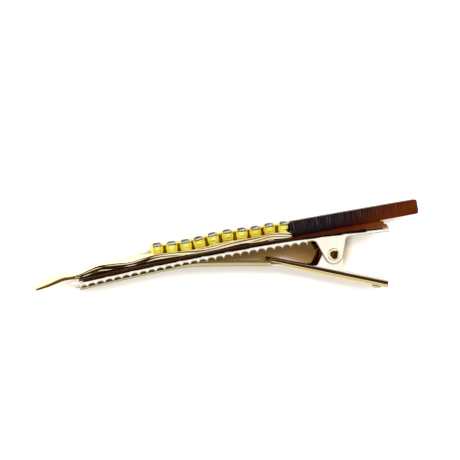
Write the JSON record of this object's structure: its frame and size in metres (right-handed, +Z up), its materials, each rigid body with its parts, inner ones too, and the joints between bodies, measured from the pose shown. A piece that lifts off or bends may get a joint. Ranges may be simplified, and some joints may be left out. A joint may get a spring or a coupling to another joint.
{
  "type": "barrette",
  "caption": "Spring hair clip with a toothed upper jaw, a hinged lower jaw, a tortoiseshell bar and a wavy gold branch set with a row of crystals.",
  "frame": {"origin": "on the floor under the middle of the part's box, the clip lying on its side as pictured", "axes": "+Z up along the hinge axis, +X along the clip towards the jaw tip, -Y towards the ornament"},
  "size_m": [0.082, 0.0188, 0.0087],
  "materials": {
    "gold_plate": "polished pale gold plating on stamped steel",
    "gold_cast": "polished yellow gold plating on cast brass",
    "spring_steel": "bare spring steel strip",
    "tortoiseshell": "tortoiseshell cellulose acetate, polished faces, sawn sides",
    "clear_glue": "clear amber adhesive",
    "crystal": "faceted clear crystal, foiled back"
  },
  "bodies": {
    "upper": {"upper_jaw": "gold_plate", "hinge_rivet": "gold_plate", "strip_spring": "spring_steel", "backing_strip": "tortoiseshell", "tortoise_bar": "tortoiseshell", "glue_bed": "clear_glue", "gold_branch": "gold_cast", "cup_01": "gold_cast", "cup_02": "gold_cast", "cup_03": "gold_cast", "cup_04": "gold_cast", "cup_05": "gold_cast", "cup_06": "gold_cast", "cup_07": "gold_cast", "cup_08": "gold_cast", "cup_09": "gold_cast", "cup_10": "gold_cast", "link_1": "gold_cast", "link_2": "gold_cast", "link_3": "gold_cast", "link_4": "gold_cast", "link_5": "gold_cast", "link_6": "gold_cast", "link_7": "gold_cast", "link_8": "gold_cast", "link_9": "gold_cast", "stone_01": "crystal", "stone_02": "crystal", "stone_03": "crystal", "stone_04": "crystal", "stone_05": "crystal", "stone_06": "crystal", "stone_07": "crystal", "stone_08": "crystal", "stone_09": "crystal", "stone_10": "crystal"},
    "lower": {"lower_jaw": "gold_plate"}
  },
  "joints": [
    {"name": "jaw_hinge", "type": "hinge", "parent": "upper", "child": "lower", "pos_m": [-0.02044, -0.00019, 0.00435], "axis": [0, 0, 1], "range_deg": [0, 40], "stiffness_Nm_per_rad": 0.08, "springref_deg": -22.92, "deforming": ["strip_spring"]}
  ]
}
